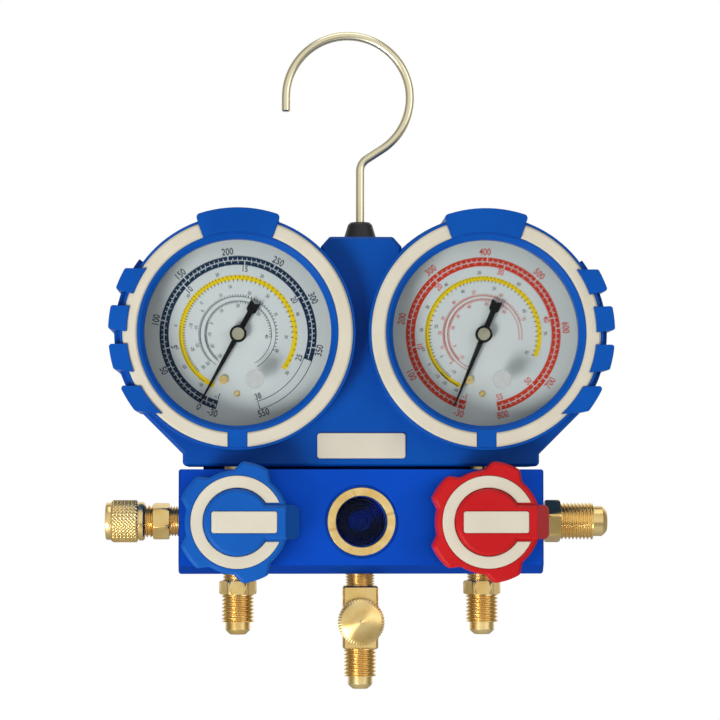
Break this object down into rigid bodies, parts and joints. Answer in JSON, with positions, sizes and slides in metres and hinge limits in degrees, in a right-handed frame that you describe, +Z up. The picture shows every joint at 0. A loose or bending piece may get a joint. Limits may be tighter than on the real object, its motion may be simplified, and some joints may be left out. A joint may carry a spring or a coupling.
{
  "type": "refrigerant manifold gauge",
  "caption": "Refrigerant manifold gauge set with blue casing, low and high pressure dials, blue and red hand valves, sight glass, brass flare ports and a swivel wire hook.",
  "frame": {"origin": "point inside the hook loop where the hook bears, straight above the shank", "axes": "+X to the right as seen from the dials, +Y to the back, +Z up"},
  "size_m": [0.173, 0.0529, 0.227],
  "materials": {
    "casing_blue": "satin moulded",
    "inlay_cream": "soft moulded",
    "block_blue": "brushed and anodised",
    "knob_red": "satin moulded",
    "brass": "turned",
    "zinc_wire": "yellow zinc plated",
    "black_rubber": "matt",
    "black_plastic": "moulded",
    "black_steel": "stamped and painted",
    "steel": "turned or stamped",
    "dial_white": "printed",
    "clear_lens": "clear",
    "clear_rubber": "translucent",
    "ptfe": "turned"
  },
  "bodies": {
    "root": {"hook_collar": "black_plastic", "front_cover": "casing_blue", "rear_cover": "casing_blue", "cover_screws": "steel", "name_plate": "inlay_cream", "low_ring_inlay": "inlay_cream", "high_ring_inlay": "inlay_cream", "manifold_block": "block_blue", "sight_glass_ring": "brass", "sight_glass": "clear_lens", "sight_glass_seal": "black_rubber", "low_hose_port": "brass", "high_hose_port": "brass", "low_side_port": "brass", "high_side_port": "brass", "service_valve_body": "brass", "valve_bonnets": "brass", "stem_seals": "ptfe", "low_gauge_case": "black_steel", "low_gauge_socket": "brass", "low_bourdon_tube": "brass", "low_movement_plates": "brass", "low_dial": "dial_white", "low_lens": "clear_lens", "high_gauge_case": "black_steel", "high_gauge_socket": "brass", "high_bourdon_tube": "brass", "high_movement_plates": "brass", "high_dial": "dial_white", "high_lens": "clear_lens"},
    "hook": {"wire_hook": "zinc_wire", "hook_retainer": "steel"},
    "service_pin": {"service_valve_pin": "brass"},
    "service_knob": {"service_valve_knob": "brass"},
    "cap_carriage": {"cap_seal": "black_rubber"},
    "cap": {"port_cap": "brass"},
    "low_piston": {"low_valve_piston": "brass"},
    "low_handwheel": {"low_valve_stem": "brass", "low_knob": "casing_blue", "low_knob_inlays": "inlay_cream"},
    "low_needle": {"low_pointer": "black_steel", "low_pinion_arbor": "steel"},
    "low_sector": {"low_sector_gear": "brass"},
    "low_linkage": {"low_link": "brass"},
    "low_zero": {"low_zero_screw": "brass"},
    "low_plug": {"low_relief_plug": "clear_rubber"},
    "high_piston": {"high_valve_piston": "brass"},
    "high_handwheel": {"high_valve_stem": "brass", "high_knob": "knob_red", "high_knob_inlays": "inlay_cream"},
    "high_needle": {"high_pointer": "black_steel", "high_pinion_arbor": "steel"},
    "high_sector": {"high_sector_gear": "brass"},
    "high_linkage": {"high_link": "brass"},
    "high_zero": {"high_zero_screw": "brass"},
    "high_plug": {"high_relief_plug": "clear_rubber"}
  },
  "joints": [
    {"name": "hook_swivel", "type": "hinge", "parent": "root", "child": "hook", "pos_m": [0, 0, -0.0691], "axis": [0, 0, 1], "continuous": true},
    {"name": "low_valve_turn", "type": "hinge", "parent": "low_piston", "child": "low_handwheel", "pos_m": [-0.042, -0.0202, -0.16625], "axis": [0, -1, 0], "range_deg": [0, 720.5]},
    {"name": "low_valve_travel", "type": "slide", "parent": "root", "child": "low_piston", "axis": [0, -1, 0], "range_m": [0, 0.0025]},
    {"name": "low_pointer_turn", "type": "hinge", "parent": "root", "child": "low_needle", "pos_m": [-0.042, 0, -0.1023], "axis": [0, 1, 0], "range_deg": [-12, 316], "stiffness_Nm_per_rad": 0.0005},
    {"name": "low_sector_turn", "type": "hinge", "parent": "root", "child": "low_sector", "pos_m": [-0.042, 0, -0.1185], "axis": [0, 1, 0], "range_deg": [-40, 2]},
    {"name": "low_link_pivot", "type": "hinge", "parent": "low_sector", "child": "low_linkage", "pos_m": [-0.03925, 0, -0.12439], "axis": [0, 1, 0], "range_deg": [-3, 42]},
    {"name": "low_zero_turn", "type": "hinge", "parent": "root", "child": "low_zero", "pos_m": [-0.04699, 0, -0.11792], "axis": [0, -1, 0], "range_deg": [-90, 90]},
    {"name": "low_plug_pull", "type": "slide", "parent": "root", "child": "low_plug", "axis": [0, -1, 0], "range_m": [0, 0.008]},
    {"name": "high_valve_turn", "type": "hinge", "parent": "high_piston", "child": "high_handwheel", "pos_m": [0.042, -0.0202, -0.16625], "axis": [0, -1, 0], "range_deg": [0, 720.5]},
    {"name": "high_valve_travel", "type": "slide", "parent": "root", "child": "high_piston", "axis": [0, -1, 0], "range_m": [0, 0.0025]},
    {"name": "high_pointer_turn", "type": "hinge", "parent": "root", "child": "high_needle", "pos_m": [0.042, 0, -0.1023], "axis": [0, 1, 0], "range_deg": [-7, 327], "stiffness_Nm_per_rad": 0.0005},
    {"name": "high_sector_turn", "type": "hinge", "parent": "root", "child": "high_sector", "pos_m": [0.042, 0, -0.1185], "axis": [0, 1, 0], "range_deg": [-41.38, 1.38]},
    {"name": "high_link_pivot", "type": "hinge", "parent": "high_sector", "child": "high_linkage", "pos_m": [0.04475, 0, -0.12439], "axis": [0, 1, 0], "range_deg": [-2, 44]},
    {"name": "high_zero_turn", "type": "hinge", "parent": "root", "child": "high_zero", "pos_m": [0.03701, 0, -0.11792], "axis": [0, -1, 0], "range_deg": [-90, 90]},
    {"name": "high_plug_pull", "type": "slide", "parent": "root", "child": "high_plug", "axis": [0, -1, 0], "range_m": [0, 0.008]},
    {"name": "service_turn", "type": "hinge", "parent": "service_pin", "child": "service_knob", "pos_m": [0, -0.00605, -0.2004], "axis": [0, -1, 0], "range_deg": [0, 720.5]},
    {"name": "service_travel", "type": "slide", "parent": "root", "child": "service_pin", "axis": [0, -1, 0], "range_m": [0, 0.002]},
    {"name": "cap_turn", "type": "hinge", "parent": "cap_carriage", "child": "cap", "pos_m": [-0.0739, 0, -0.16625], "axis": [-1, 0, 0], "range_deg": [0, 1801]},
    {"name": "cap_travel", "type": "slide", "parent": "root", "child": "cap_carriage", "axis": [-1, 0, 0], "range_m": [0, 0.00635]}
  ],
  "couplings": [
    {"joint": "low_valve_turn", "follows": "low_valve_travel", "rad_per_m": 5026.5},
    {"joint": "low_sector_turn", "follows": "low_pointer_turn", "ratio": -0.125},
    {"joint": "low_link_pivot", "follows": "low_pointer_turn", "ratio": 0.12974},
    {"joint": "high_valve_turn", "follows": "high_valve_travel", "rad_per_m": 5026.5},
    {"joint": "high_sector_turn", "follows": "high_pointer_turn", "ratio": -0.125},
    {"joint": "high_link_pivot", "follows": "high_pointer_turn", "ratio": 0.13014},
    {"joint": "service_turn", "follows": "service_travel", "rad_per_m": 6283.2},
    {"joint": "cap_turn", "follows": "cap_travel", "rad_per_m": 4947.4}
  ]
}
